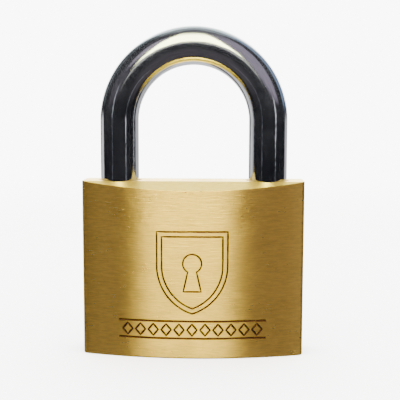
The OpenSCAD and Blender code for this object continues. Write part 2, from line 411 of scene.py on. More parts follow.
class Effects:
    """The surface effects that several finishes share, each a node group built once."""

    def __init__(self) -> None:
        """Builds the groups."""
        self.streaks = self._streaks()
        self.rod_run = self._rod_run()
        self.pits = self._pits()
        self.bloom = self._bloom()

    @staticmethod
    def _streaks() -> bpy.types.NodeTree:
        """Builds fine lines of several widths. The vector is already stretched along them."""
        s, given, out = new_group("fine streaks", {"Contrast": 1.0},
                                  {"Tone": "NodeSocketFloat", "Height": "NodeSocketFloat"})
        vector = given["Vector"]
        fine = s.noise(vector, 1.0, 3.0, 0.6)
        coarse = s.noise(s.stretched(vector, (0.45, 0.45, 0.3), (3.1, 7.7, 1.3)), 1.0, 2.0, 0.5)
        hair = s.noise(s.stretched(vector, (0.6, 0.6, 2.1), (9.4, 2.2, 5.9)), 1.0, 1.0, 0.5)
        blend = s.math("ADD", s.math("MULTIPLY", fine, 0.65), s.math("MULTIPLY", coarse, 0.1))
        blend = s.math("ADD", blend, s.math("MULTIPLY", hair, 0.25))
        tone = s.math("MULTIPLY_ADD", s.math("SUBTRACT", blend, 0.5), given["Contrast"], 0.5, clamp=True)
        s.link(tone, out["Tone"])
        s.link(s.math("ADD", s.math("MULTIPLY", fine, 0.35), s.math("MULTIPLY", hair, 0.65)), out["Height"])
        return s.tree

    @staticmethod
    def _rod_run() -> bpy.types.NodeTree:
        """Builds the coordinates of a bent rod: across, through and along, in metres."""
        s, given, out = new_group("run of the rod", {"Leg": 0.0, "Bow": 0.0}, {"Vector": "NodeSocketVector"})
        parts = s.node("SeparateXYZ")
        s.link(given["Vector"], parts.inputs[0])
        x, y, z = parts.outputs
        over = s.math("SUBTRACT", z, given["Bow"])
        rise, drop = s.math("MAXIMUM", over, 0.0), s.math("MINIMUM", over, 0.0)
        away = s.math("SQRT", s.math("ADD", s.math("MULTIPLY", x, x), s.math("MULTIPLY", rise, rise)))
        bend = s.math("MULTIPLY", s.math("ARCTAN2", x, rise), given["Leg"])
        run = s.math("SUBTRACT", bend, s.math("MULTIPLY", s.math("SIGN", x), drop))
        joined = s.node("CombineXYZ")
        for socket, value in zip(joined.inputs, (s.math("SUBTRACT", away, given["Leg"]), y, run)):
            s.feed(socket, value)
        s.link(joined.outputs[0], out["Vector"])
        return s.tree

    @staticmethod
    def _pits() -> bpy.types.NodeTree:
        """Builds a scatter of small dark specks: 1 in a speck and 0 elsewhere."""
        s, given, out = new_group("pits", {"Share": 0.1, "Size": 0.2}, {"Mask": "NodeSocketFloat"})
        cells = s.node("TexVoronoi", voronoi_dimensions="3D", feature="F1")
        cells.inputs["Scale"].default_value = 1.0
        s.link(given["Vector"], cells.inputs["Vector"])
        parts = s.node("SeparateColor")
        s.link(cells.outputs["Color"], parts.inputs[0])
        chosen = s.math("LESS_THAN", parts.outputs[0], given["Share"])
        ragged = s.math("MULTIPLY_ADD", s.noise(given["Vector"], 3.0, 2.0), 0.3, cells.outputs["Distance"])
        inside = s.math("LESS_THAN", ragged, given["Size"])
        s.link(s.math("MULTIPLY", chosen, inside), out["Mask"])
        return s.tree

    @staticmethod
    def _bloom() -> bpy.types.NodeTree:
        """Builds broad soft clouds, as of handling and thin tarnish, from 0 to 1."""
        s, given, out = new_group("tarnish bloom", {"Low": 0.35, "High": 0.7}, {"Mask": "NodeSocketFloat"})
        cloud = s.noise(given["Vector"], 1.0, 4.0, 0.55)
        span = s.math("SUBTRACT", given["High"], given["Low"])
        s.link(s.math("DIVIDE", s.math("SUBTRACT", cloud, given["Low"]), span, clamp=True), out["Mask"])
        return s.tree

    def place(self, shader: Shader, group: bpy.types.NodeTree, vector: bpy.types.NodeSocket,
              **values: float) -> dict[str, bpy.types.NodeSocket]:
        """Places a group in a material.

        Args:
            shader: The material's helper.
            group: The group.
            vector: What it reads as its Vector.
            values: Its other inputs.

        Returns:
            Its outputs by name.
        """
        made = shader.node("Group")
        made.node_tree = group
        shader.link(vector, made.inputs["Vector"])
        for name, value in values.items():
            made.inputs[name].default_value = value
        return {s.name: s for s in made.outputs}


# ---------------------------------------------------------------- finishes


@dataclass(frozen=True)
class Finish:
    """A metal finish: its colours and the way that it was worked.

    The grain runs from the dull colour to the bright one. A rod finish follows a bent rod,
    whose bow starts at the second length of rod and curves at the radius of the first, and
    bow_rough is how much rougher the bow is than the legs. The nicks lie between two heights,
    out to a distance either side of the middle.
    """

    name: str
    bright: Colour
    dull: Colour
    roughness: float
    rough_swing: float
    grain: Grain
    grain_bump: float
    contrast: float = 2.0
    anisotropy: float = 0.0
    pit_share: float = 0.0
    tarnish: Colour = (0.30, 0.17, 0.06)
    tarnish_share: float = 0.15
    rod: tuple[float, float] | None = None
    bow_rough: float = 0.0
    nicks: tuple[float, float, float] | None = None

    def build(self, effects: Effects) -> bpy.types.Material:
        """Builds the material.

        Args:
            effects: The shared node groups.

        Returns:
            The material.
        """
        material = bpy.data.materials.new(self.name)
        material.use_nodes = True
        s = Shader(material.node_tree)
        surface = material.node_tree.nodes["Principled BSDF"]
        place = here = s.node("TexCoord").outputs["Object"]
        if self.rod:
            place = effects.place(s, effects.rod_run, place, Leg=self.rod[0], Bow=self.rod[1])["Vector"]
        streaks = effects.place(s, effects.streaks, s.stretched(place, self.grain.value),
                                Contrast=self.contrast)
        clouds = effects.place(s, effects.bloom, s.stretched(place, (160.0, 160.0, 220.0)),
                               Low=0.42, High=0.72)
        colour = s.mix(streaks["Tone"], self.dull, self.bright)
        colour = s.mix(s.math("MULTIPLY", clouds["Mask"], self.tarnish_share), colour, self.tarnish)
        height = streaks["Height"]
        if self.pit_share > 0:
            pits = effects.place(s, effects.pits, s.stretched(place, (1100.0, 1100.0, 1900.0)),
                                 Share=self.pit_share, Size=0.26)
            colour = s.mix(s.math("MULTIPLY", pits["Mask"], 0.75), colour, self.tarnish)
            height = s.math("SUBTRACT", height, s.math("MULTIPLY", pits["Mask"], 0.4))
        if self.nicks:
            mask = self.nicked(s, effects, place)
            colour = s.mix(s.math("MULTIPLY", mask, 0.85), colour, self.tarnish)
            height = s.math("SUBTRACT", height, s.math("MULTIPLY", mask, 0.5))
        rough = s.math("MULTIPLY_ADD", streaks["Tone"], -self.rough_swing,
                       self.roughness + self.rough_swing / 2)
        rough = s.math("MULTIPLY_ADD", clouds["Mask"], self.rough_swing, rough, clamp=True)
        if self.rod and self.bow_rough > 0:
            parts = s.node("SeparateXYZ")
            s.link(here, parts.inputs[0])
            bent = s.spread(parts.outputs[2], self.rod[1], self.rod[1] + 0.7 * self.rod[0])
            rough = s.math("MULTIPLY_ADD", bent, self.bow_rough, rough, clamp=True)
        bump = s.node("Bump")
        bump.inputs["Strength"].default_value = self.grain_bump
        bump.inputs["Distance"].default_value = 0.06 * MM
        s.link(height, bump.inputs["Height"])
        s.link(colour, surface.inputs["Base Color"])
        s.link(rough, surface.inputs["Roughness"])
        s.link(bump.outputs["Normal"], surface.inputs["Normal"])
        surface.inputs["Metallic"].default_value = 1.0
        if self.anisotropy > 0:
            surface.inputs["Anisotropic"].default_value = self.anisotropy
            surface.inputs["Anisotropic Rotation"].default_value = 0.25
            tangent = s.node("Tangent", direction_type="RADIAL", axis="Z")
            s.link(tangent.outputs[0], surface.inputs["Tangent"])
        return material

    def nicked(self, s: Shader, effects: Effects, place: bpy.types.NodeSocket) -> bpy.types.NodeSocket:
        """Returns a mask of the short nicks left under an edge by the brushing.

        Args:
            s: The material's helper.
            effects: The shared node groups.
            place: The object coordinates.
        """
        low, high, reach = self.nicks
        parts = s.node("SeparateXYZ")
        s.link(place, parts.inputs[0])
        band = s.math("MULTIPLY", s.spread(parts.outputs[2], low, high),
                      s.spread(s.math("ABSOLUTE", parts.outputs[0]), 0.6 * reach, 1.3 * reach, 1.0, 0.0))
        marks = effects.place(s, effects.pits, s.stretched(place, (620.0, 620.0, 2300.0)),
                              Share=0.22, Size=0.32)
        return s.math("MULTIPLY", marks["Mask"], band)


SATIN_BRASS = Finish("satin_brass_sides", (1.0, 0.62, 0.13), (0.80, 0.49, 0.103), 0.30, 0.06,
                     Grain.ROUND_THE_SIDES, 1.0, contrast=4.0, anisotropy=1.0, pit_share=0.03,
                     tarnish_share=0.06, nicks=(31 * MM, 37 * MM, 14 * MM))
TOP_BRASS = Finish("satin_brass_top", (1.0, 0.71, 0.085), (0.74, 0.50, 0.05), 0.38, 0.10,
                   Grain.ACROSS_THE_TOP, 0.3, contrast=3.0, pit_share=0.02)
BORED_BRASS = Finish("bored_brass", (0.62, 0.38, 0.08), (0.45, 0.26, 0.05), 0.35, 0.15,
                     Grain.ROUND_THE_SIDES, 0.2, tarnish_share=0.3)
ENGRAVED = Finish("engraved_line", (0.075, 0.030, 0.009), (0.055, 0.021, 0.006), 0.5, 0.1,
                  Grain.TURNED, 0.1, tarnish=(0.02, 0.008, 0.002))
PLUG_BRASS = Finish("turned_brass", (0.90, 0.60, 0.10), (0.70, 0.43, 0.06), 0.3, 0.12,
                    Grain.TURNED, 0.08, tarnish_share=0.25)
CHROME = Finish("chromed_steel", (0.66, 0.67, 0.70), (0.50, 0.51, 0.54), 0.055, 0.04,
                Grain.ALONG_THE_ROD, 0.30, contrast=3.0, pit_share=0.03, tarnish=(0.16, 0.16, 0.18),
                tarnish_share=0.10, rod=(16.85 * MM, 53.0 * MM), bow_rough=0.045)
GROUND_STEEL = Finish("ground_steel", (0.60, 0.61, 0.63), (0.42, 0.43, 0.46), 0.32, 0.12,
                      Grain.ACROSS_THE_TOP, 0.15, tarnish=(0.2, 0.18, 0.16))
SPRING_WIRE = Finish("spring_wire", (0.50, 0.51, 0.54), (0.34, 0.35, 0.38), 0.3, 0.1,
                     Grain.TURNED, 0.05, tarnish=(0.18, 0.16, 0.14))


@dataclass
class Finishes:
    """Every material of the padlock."""

    effects: Effects = field(default_factory=Effects)

    def __post_init__(self) -> None:
        """Builds the materials."""
        self.sides = SATIN_BRASS.build(self.effects)
        self.top = TOP_BRASS.build(self.effects)
        self.bored = BORED_BRASS.build(self.effects)
        self.engraved = ENGRAVED.build(self.effects)
        self.plug = PLUG_BRASS.build(self.effects)
        self.chrome = CHROME.build(self.effects)
        self.steel = GROUND_STEEL.build(self.effects)
        self.wire = SPRING_WIRE.build(self.effects)


# ---------------------------------------------------------------- the lock body


@dataclass
class Ornament:
    """The engraving on the front face: a shield with a keyhole over a band of lozenges."""

    surface_y: Callable[[float], float]
    centre_z: float = 19.9 * MM
    shield_half: float = 7.9 * MM
    shield_top: float = 8.8 * MM
    shield_foot: float = -9.6 * MM
    waist_z: float = 1.2 * MM
    inset: float = 1.1 * MM
    line: float = 0.40 * MM
    depth: float = 0.13 * MM
    band_z: float = 6.6 * MM
    band_half: float = 16.6 * MM
    band_rise: float = 1.95 * MM
    band_end: float = 0.6 * MM
    band_margin: float = 0.62 * MM
    lozenges: int = 11
    lozenge_share: float = 0.38
    band_line: float = 0.5 * MM
    eye_radius: float = 2.1 * MM
    eye_z: float = 1.7 * MM
    neck_angle: float = math.radians(28)
    skirt_half: float = 2.0 * MM
    skirt_foot: float = -4.6 * MM

    def shield(self, inset: float) -> list[tuple[float, float]]:
        """Returns the shield's outline, moved inwards by a distance, as x and height."""
        reach = self.shield_half - inset
        drop = self.waist_z - self.shield_foot
        radius = (self.shield_half ** 2 + drop ** 2) / (2 * self.shield_half)
        centre = self.shield_half - radius
        arc = radius - inset
        sweep = math.acos(-centre / arc)
        steps = 20
        right = [(centre + arc * math.cos(sweep * k / steps),
                  self.waist_z - arc * math.sin(sweep * k / steps)) for k in range(steps + 1)]
        top = self.shield_top - inset
        left = [(-x, z) for x, z in reversed(right[:-1])]
        return [(reach, top), *right, *left, (-reach, top)]

    def keyhole(self) -> list[tuple[float, float]]:
        """Returns the keyhole's outline: a round eye over a flared skirt."""
        steps = 28
        start, end = -HALF_TURN / 2 + self.neck_angle, 1.5 * HALF_TURN - self.neck_angle
        angles = [start + (end - start) * k / steps for k in range(steps + 1)]
        eye = [(self.eye_radius * math.cos(a), self.eye_z + self.eye_radius * math.sin(a)) for a in angles]
        return [*eye, (-self.skirt_half, self.skirt_foot), (self.skirt_half, self.skirt_foot)]

    def lozenge(self, x: float, half: float, rise: float) -> list[tuple[float, float]]:
        """Returns the outline of one lozenge, centred at x and height 0."""
        return [(x + half, 0.0), (x, rise), (x - half, 0.0), (x, -rise)]

    def groove(self, outline: Sequence[tuple[float, float]], height: float, width: float, closed: bool,
               material: bpy.types.Material) -> bpy.types.Object:
        """Makes the round tool that leaves one engraved line in the bowed face.

        Args:
            outline: The line's points as x and height.
            height: What is added to every height.
            width: The line's width at the surface.
            closed: Whether the line closes on itself.
            material: The finish that the line takes.

        Returns:
            The tool as a mesh object.
        """
        radius = (width ** 2 / 4 + self.depth ** 2) / (2 * self.depth)
        curve = bpy.data.curves.new("groove", "CURVE")
        curve.dimensions = "3D"
        curve.bevel_depth = radius
        curve.bevel_resolution = 3
        curve.use_fill_caps = True
        spline = curve.splines.new("POLY")
        spline.points.add(len(outline) - 1)
        for point, (x, z) in zip(spline.points, outline):
            point.co = (x, self.surface_y(x) - radius + self.depth, z + height, 1.0)
        spline.use_cyclic_u = closed
        tool = bpy.data.objects.new("groove", curve)
        bpy.context.scene.collection.objects.link(tool)
        bpy.context.view_layer.update()
        graph = bpy.context.evaluated_depsgraph_get()
        mesh = bpy.data.meshes.new_from_object(tool.evaluated_get(graph), depsgraph=graph)
        bpy.data.objects.remove(tool)
        bm = bmesh.new()
        bm.from_mesh(mesh)
        bpy.data.meshes.remove(mesh)
        return new_piece("groove", bm, [material])

    def finely(self, outline: Sequence[tuple[float, float]], closed: bool, step: float = 0.8 * MM
               ) -> list[tuple[float, float]]:
        """Returns an outline with points added so that it follows the bowed face."""
        ends = list(outline[1:]) + ([outline[0]] if closed else [])
        fine = []
        for (x0, z0), (x1, z1) in zip(outline, ends):
            parts = max(1, math.ceil(math.hypot(x1 - x0, z1 - z0) / step))
            fine += [(x0 + (x1 - x0) * k / parts, z0 + (z1 - z0) * k / parts) for k in range(parts)]
        return fine if closed else [*fine, outline[-1]]

    def tools(self, material: bpy.types.Material) -> list[bpy.types.Object]:
        """Returns the engraving tools of every line.

        Args:
            material: The finish of the engraved lines.
        """
        made = [self.groove(self.finely(outline, True), self.centre_z, self.line, True, material)
                for outline in (self.shield(0.0), self.shield(self.inset), self.keyhole())]
        pitch = 2 * (self.band_half - self.band_end) / self.lozenges
        rise = self.band_rise - self.band_margin
        for k in range(self.lozenges):
            x = (k - (self.lozenges - 1) / 2) * pitch
            outline = self.lozenge(x, self.lozenge_share * pitch, rise)
            made.append(self.groove(self.finely(outline, True), self.band_z, self.band_line, True, material))
        for side in (-1, 1):
            rule = [(-self.band_half, side * self.band_rise), (self.band_half, side * self.band_rise)]
            made.append(self.groove(self.finely(rule, False), self.band_z, self.band_line, False, material))
        return made


@dataclass
class LockBody:
    """The solid brass body: bowed faces, narrow flat sides, sloping shoulders and its bores."""

    finishes: Finishes
    side_thickness: float = 8.9 * MM
    corner_radius: float = 1.0 * MM
    shoulder_drop: float = 1.85 * MM
    foot_round: float = 0.35 * MM
    top_round: float = 0.10 * MM
    leg_gap: float = 0.2 * MM
    leg_mouth: float = 0.5 * MM
    plug_mouth: float = 0.15 * MM
    toe_floor: float = 25.0 * MM
    heel_floor: float = 3.0 * MM
    turning_gap: float = 0.05 * MM
    plug_bore_top: float = 27.0 * MM
    passage_radius: float = 2.6 * MM
    plug_end_bevel: float = 0.12 * MM
    face_steps: int = 60

    def __post_init__(self) -> None:
        """Reads the sizes that the frame gives."""
        low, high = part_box("body")
        self.half_width = high.x
        self.half_thickness = high.y
        self.height = high.z
        bulge = self.half_thickness - self.side_thickness / 2
        self.face_radius = (self.half_width ** 2 + bulge ** 2) / (2 * bulge)
        self.face_centre = self.face_radius - self.half_thickness
        self.corner_x = self.half_width - self.corner_radius
        reach = self.face_radius - self.corner_radius
        self.corner_y = math.sqrt(reach ** 2 - self.corner_x ** 2) - self.face_centre
        self.tangent_angle = math.asin(self.corner_x / reach)

    def front_y(self, x: float) -> float:
        """Returns where the bowed front face lies at x."""
        return self.face_centre - math.sqrt(self.face_radius ** 2 - x ** 2)

    def outline(self, bm: bmesh.types.BMesh) -> None:
        """Draws the plan of the body, by spinning one quarter of it and mirroring that.

        Args:
            bm: The empty mesh that takes the edges.
        """
        start = bm.verts.new((0.0, -self.half_thickness, 0.0))
        face = bmesh.ops.spin(bm, geom=[start], cent=(0, self.face_centre, 0), axis=(0, 0, 1),
                              angle=self.tangent_angle, steps=self.face_steps)
        last = next(e for e in face["geom_last"] if isinstance(e, bmesh.types.BMVert))
        corner = bmesh.ops.spin(bm, geom=[last], cent=(self.corner_x, -self.corner_y, 0), axis=(0, 0, 1),
                                angle=HALF_TURN / 2 - self.tangent_angle, steps=8)
        last = next(e for e in corner["geom_last"] if isinstance(e, bmesh.types.BMVert))
        middle = bm.verts.new((self.half_width, 0.0, 0.0))
        bm.edges.new((last, middle))
        for axis in ("X", "Y"):
            bmesh.ops.mirror(bm, geom=bm.verts[:] + bm.edges[:], matrix=Matrix.Identity(4),
                             merge_dist=MERGE * 10, axis=axis)
        bmesh.ops.remove_doubles(bm, verts=bm.verts[:], dist=MERGE * 10)

    def block(self) -> bpy.types.Object:
        """Makes the body before it is bored: extruded, with its shoulders and rounded edges."""
        bm = bmesh.new()
        self.outline(bm)
        bmesh.ops.contextual_create(bm, geom=bm.edges[:])
        raised = bmesh.ops.extrude_face_region(bm, geom=bm.faces[:])
        top = [v for v in raised["geom"] if isinstance(v, bmesh.types.BMVert)]
        bmesh.ops.translate(bm, vec=(0, 0, self.height), verts=top)
        slope = self.shoulder_drop / (self.half_thickness - self.side_thickness / 2)
        for side in (-1, 1):
            cut = bmesh.ops.bisect_plane(bm, geom=bm.verts[:] + bm.edges[:] + bm.faces[:],
                                         plane_co=(0, side * self.side_thickness / 2, self.height),
                                         plane_no=(0, side * slope, 1), clear_outer=True)
            rim = [e for e in cut["geom_cut"] if isinstance(e, bmesh.types.BMEdge)]
            bmesh.ops.contextual_create(bm, geom=rim)
        bmesh.ops.recalc_face_normals(bm, faces=bm.faces[:])
        level = [e for e in sharp_edges(bm) if abs(e.verts[0].co.z - e.verts[1].co.z) < 0.5 * self.height]
        foot = [e for e in level if max(v.co.z for v in e.verts) < MERGE]
        round_edges(bm, foot, self.foot_round)
        head = [e for e in sharp_edges(bm) if min(v.co.z for v in e.verts) > self.height / 2]
        round_edges(bm, head, self.top_round, segments=2)
        piece = new_piece("body_shell", bm, [self.finishes.sides, self.finishes.top])
        self.sort_faces(piece)
        return piece

    def sort_faces(self, piece: bpy.types.Object) -> None:
        """Gives the level and sloping faces the finish that is brushed from side to side."""
        for polygon in piece.data.polygons:
            polygon.material_index = 1 if abs(polygon.normal.z) > 0.6 else 0

    def drills(self) -> list[bpy.types.Object]:
        """Returns the solids that leave every bore of the body."""
        bored = [self.finishes.bored]
        shackle_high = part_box("shackle")[1]
        rod = shackle_high.y
        leg = shackle_high.x - rod
        leg_bore = rod + self.leg_gap
        tools = [lathe(bore_profile(leg_bore, self.height - floor, self.leg_mouth), Vector((x, 0, floor)))
                 for x, floor in ((leg, self.toe_floor), (-leg, self.heel_floor))]
        plug_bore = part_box("cylinder_plug")[1].x + self.turning_gap
        tools.append(lathe([(0, -PAST), (plug_bore + self.plug_mouth + PAST, -PAST),
                            (plug_bore, self.plug_mouth), (plug_bore, self.plug_bore_top),
                            (0, self.plug_bore_top)], Vector()))
        bolt_low, bolt_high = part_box("toe_bolt")
        bolt_z = (bolt_low.z + bolt_high.z) / 2
        bolt_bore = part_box("bolt_bore_plug")[1].y + PRESS_GAP
        tools.append(lathe(bore_profile(self.passage_radius, bolt_z - self.plug_bore_top, past=0.0),
                           Vector((0, 0, self.plug_bore_top - 0.5 * MM))))
        tools.append(lathe(bore_profile(bolt_bore, self.half_width + leg, self.plug_end_bevel),
                           Vector((-leg, 0, bolt_z)), Along.RIGHT))
        for i in range(1, 6):
            low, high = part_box(f"chamber_plug_{i}")
            radius = high.y + PRESS_GAP
            start = plug_bore - PAST
            tools.append(lathe(bore_profile(radius, self.half_width - start, self.plug_end_bevel),
                               Vector((start, 0, (low.z + high.z) / 2)), Along.RIGHT, 48))
        low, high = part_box("plug_retaining_pin")
        across = (high.x - low.x) / 2 + PRESS_GAP
        centre = (low + high) / 2
        start = low.y - 2 * PRESS_GAP
        tools.append(lathe(bore_profile(across, high.y - start, past=2 * PAST),
                           Vector((centre.x, start, centre.z)), Along.BACK, 40))
        low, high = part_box("shackle_retaining_pin")
        radius, length = high.y + PRESS_GAP, high.x - low.x
        tools.append(lathe([(0, -PAST), (radius, -PAST), (radius, length), (0, length)],
                           Vector((low.x, 0, (low.z + high.z) / 2)), Along.RIGHT, 40))
        return [new_piece("drill", bm, bored) for bm in tools]

    def build(self) -> None:
        """Makes the bored and engraved body and puts it in place."""
        piece = self.block()
        cut_away(piece, self.drills())
        cut_away(piece, Ornament(self.front_y).tools(self.finishes.engraved))
        weight_normals(piece)
        install(piece, "lock_body", "satin_brass", "body")

    def build_stoppers(self) -> None:
        """Makes the pressed plugs and pins that close the body's bores, dressed flush."""
        for name, along in ([("bolt_bore_plug", Along.RIGHT), ("shackle_retaining_pin", Along.RIGHT),
                             ("plug_retaining_pin", Along.BACK)]
                            + [(f"chamber_plug_{i}", Along.RIGHT) for i in range(1, 6)]):
            low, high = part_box(name)
            size = high - low
            radius = size.z / 2
            length = size.y if along is Along.BACK else size.x
            centre = (low + high) / 2
            start = Vector((low.x, 0, centre.z))
            if along is Along.BACK:
                start = Vector((centre.x, low.y, centre.z))
            bm = lathe(bar_profile(radius, length, min(self.plug_end_bevel, radius / 4)), start, along, 48)
            piece = new_piece(name + "_dressed", bm, [self.finishes.sides])
            weight_normals(piece)
            install(piece, "lock_body", "satin_brass", name)


# ---------------------------------------------------------------- the shackle


@dataclass
class Shackle:
    """The bent rod: a bow, a toe leg, and a heel leg with its neck and collar."""

    finishes: Finishes
    toe_z: float = 25.8 * MM
    collar_top: float = 14.4 * MM
    neck_top: float = 21.0 * MM
    neck_radius: float = 2.2 * MM
    groove_top: float = 31.0 * MM
    groove_depth: float = 1.5 * MM
    notch_depth: float = 1.8 * MM
    notch_gap: float = 0.25 * MM
    tip_bevel: float = 0.8 * MM
    tip_ease: float = 0.05 * MM
    soft_edge: float = 0.25 * MM
    notch_round: float = 0.3 * MM
    bow_steps: int = 96
    rod_steps: int = 56

    def __post_init__(self) -> None:
        """Reads the sizes that the frame gives."""
        low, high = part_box("shackle")
        self.rod = high.y
        self.leg = high.x - self.rod
        self.heel_z = low.z
        self.bow_z = high.z - self.rod - self.leg

    def leg_rings(self, bm: bmesh.types.BMesh, ring: list, stations: Sequence[tuple[float, float]],
                  x: float) -> None:
        """Carries a leg down from the bow, ring by ring, and closes its end.

        Args:
            bm: The mesh.
            ring: The edges of the ring that the leg starts from.
            stations: Radius and height of each further ring, from the top down.
            x: Where the leg's axis stands.
        """
        radius = self.rod
        for next_radius, height in stations:
            grown = bmesh.ops.extrude_edge_only(bm, edges=ring)
            verts = [g for g in grown["geom"] if isinstance(g, bmesh.types.BMVert)]
            ring = [g for g in grown["geom"] if isinstance(g, bmesh.types.BMEdge)
                    and all(v in verts for v in g.verts)]
            for v in verts:
                v.co.z = height
            ratio = next_radius / radius
            bmesh.ops.scale(bm, vec=(ratio, ratio, 1.0), verts=verts, space=Matrix.Translation((-x, 0, 0)))
            radius = next_radius
        bmesh.ops.contextual_create(bm, geom=ring)

    def bar(self) -> bpy.types.Object:
        """Makes the bent rod before it is notched."""
        bm = bmesh.new()
        bmesh.ops.create_circle(bm, cap_ends=False, segments=self.rod_steps, radius=self.rod,
                                matrix=Matrix.Translation((self.leg, 0, self.bow_z)))
        first = bm.edges[:]
        spun = bmesh.ops.spin(bm, geom=bm.verts[:] + first, cent=(0, 0, self.bow_z), axis=(0, -1, 0),
                              angle=HALF_TURN, steps=self.bow_steps)
        last = [g for g in spun["geom_last"] if isinstance(g, bmesh.types.BMEdge)]
        r, tip, soft, ease = self.rod, self.tip_bevel, self.soft_edge, self.tip_ease
        self.leg_rings(bm, first, [(r, self.toe_z + tip + soft), (r - ease, self.toe_z + tip),
                                   (r - tip + ease, self.toe_z + 2 * ease),
                                   (r - tip - 2 * ease, self.toe_z)], self.leg)
        n = self.neck_radius
        self.leg_rings(bm, last, [(r, self.neck_top + soft), (r - soft, self.neck_top),
                                  (n + soft, self.neck_top), (n, self.neck_top - soft),
                                  (n, self.collar_top + soft), (n + soft, self.collar_top),
                                  (r - soft / 2, self.collar_top), (r, self.collar_top - soft / 2),
                                  (r, self.heel_z + tip), (r - tip, self.heel_z)], -self.leg)
        return new_piece("shackle_rod", bm, [self.finishes.chrome])

    def notch_tools(self) -> list[bpy.types.Object]:
        """Returns the solids that leave the bolt notches and the flat that passes the pin."""
        low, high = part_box("toe_bolt")
        wide = self.rod + PAST
        tools = []
        for side in (-1, 1):
            inner = side * (self.leg - self.rod - PAST)
            floor = side * (self.leg - self.rod + self.notch_depth)
            xs = sorted((inner, floor))
            tools.append(block(Vector((xs[0], -wide, low.z - self.notch_gap)),
                               Vector((xs[1], wide, high.z + self.notch_gap)), self.notch_round))
        outer = -self.leg - self.rod
        tools.append(block(Vector((outer - PAST, -wide, self.neck_top - PAST)),
                           Vector((outer + self.groove_depth, wide, self.groove_top)), self.notch_round))
        return [new_piece("notch", bm, [self.finishes.steel]) for bm in tools]

    def build(self) -> None:
        """Makes the notched shackle and puts it in place."""
        piece = self.bar()
        cut_away(piece, self.notch_tools())
        weight_normals(piece)
        install(piece, "bow", "chromed_steel", "shackle")


# ---------------------------------------------------------------- the works inside


@dataclass
class Cylinder:
    """The plug that the key turns, with its keyway, and the pins that work in it."""

    finishes: Finishes
    groove_low: float = 20.6 * MM
    groove_high: float = 22.8 * MM
    groove_depth: float = 1.1 * MM
    plug_top: float = 24.0 * MM
    rim: float = 0.35 * MM
    dish: float = 0.12 * MM
    dish_edge: float = 1.15 * MM
    dish_slope: float = 0.15 * MM
    keyway_top: float = 20.0 * MM
    keyway_width: float = 1.5 * MM
    keyway_y: tuple[float, float] = (-4.6 * MM, 3.5 * MM)
    ward: float = 0.7 * MM
    chamber_floor: float = 0.3 * MM
    chamber_radius: float = 1.45 * MM

    def build(self) -> None:
        """Makes the plug and the pins."""
        low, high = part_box("cylinder_plug")
        radius, foot = high.x, low.z
        groove = radius - self.groove_depth
        flat = radius - self.dish_edge
        profile = [(0, foot + self.dish), (flat - self.dish_slope, foot + self.dish), (flat, foot),
                   (radius - self.rim, foot), (radius, foot + self.rim), (radius, self.groove_low),
                   (groove, self.groove_low), (groove, self.groove_high), (radius, self.groove_high),
                   (radius, self.plug_top), (0, self.plug_top)]
        piece = new_piece("plug_face", lathe(profile, Vector(), steps=96), [self.finishes.plug])
        cut_away(piece, self.keyway_tools(foot))
        weight_normals(piece)
        install(piece, "plug", "plug_brass", "cylinder_plug")
        for i in range(1, 6):
            self.pin(f"key_pin_{i}", Along.BACK, self.finishes.plug, "plug_brass")
            self.pin(f"driver_pin_{i}", Along.RIGHT, self.finishes.steel, "hardened_steel")

    def keyway_tools(self, foot: float) -> list[bpy.types.Object]:
        """Returns the solids that leave the keyway and the pin chambers.

        Args:
            foot: The height of the plug's face.
        """
        half = self.keyway_width / 2
        below = foot - PAST
        spans = [(-half, half, *self.keyway_y), (-half - self.ward, 0.0, -2.6 * MM, -1.2 * MM),
                 (0.0, half + self.ward, 0.2 * MM, 1.7 * MM)]
        tools = [block(Vector((x0, y0, below)), Vector((x1, y1, self.keyway_top)))
                 for x0, x1, y0, y1 in spans]
        for i in range(1, 6):
            low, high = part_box(f"key_pin_{i}")
            tools.append(lathe(bore_profile(self.chamber_radius, high.y + PAST - self.chamber_floor),
                               Vector((0, self.chamber_floor, (low.z + high.z) / 2)), Along.BACK, 40))
        return [new_piece("keyway", bm, [self.finishes.bored]) for bm in tools]

    def pin(self, name: str, along: Along, material: bpy.types.Material, slot: str) -> None:
        """Makes one pin with rounded ends in the place of its CAD node.

        Args:
            name: The CAD node's name, which is also its body's.
            along: The direction of its axis.
            material: Its finish.
            slot: The record's material slot.
        """
        low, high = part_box(name)
        length = high.y - low.y if along is Along.BACK else high.x - low.x
        radius = (high.z - low.z) / 2
        height = (low.z + high.z) / 2
        start = Vector((0, low.y, height)) if along is Along.BACK else Vector((low.x, 0, height))
        bevel, steps = 0.4 * MM, 5
        dome = [(radius - bevel + bevel * math.sin(HALF_TURN / 2 * k / steps),
                 bevel - bevel * math.cos(HALF_TURN / 2 * k / steps)) for k in range(steps + 1)]
        profile = [(0, 0), *dome, *[(r, length - z) for r, z in reversed(dome)], (0, length)]
        piece = new_piece(name + "_turned", lathe(profile, start, along, 40), [material])
        install(piece, name, slot, name)


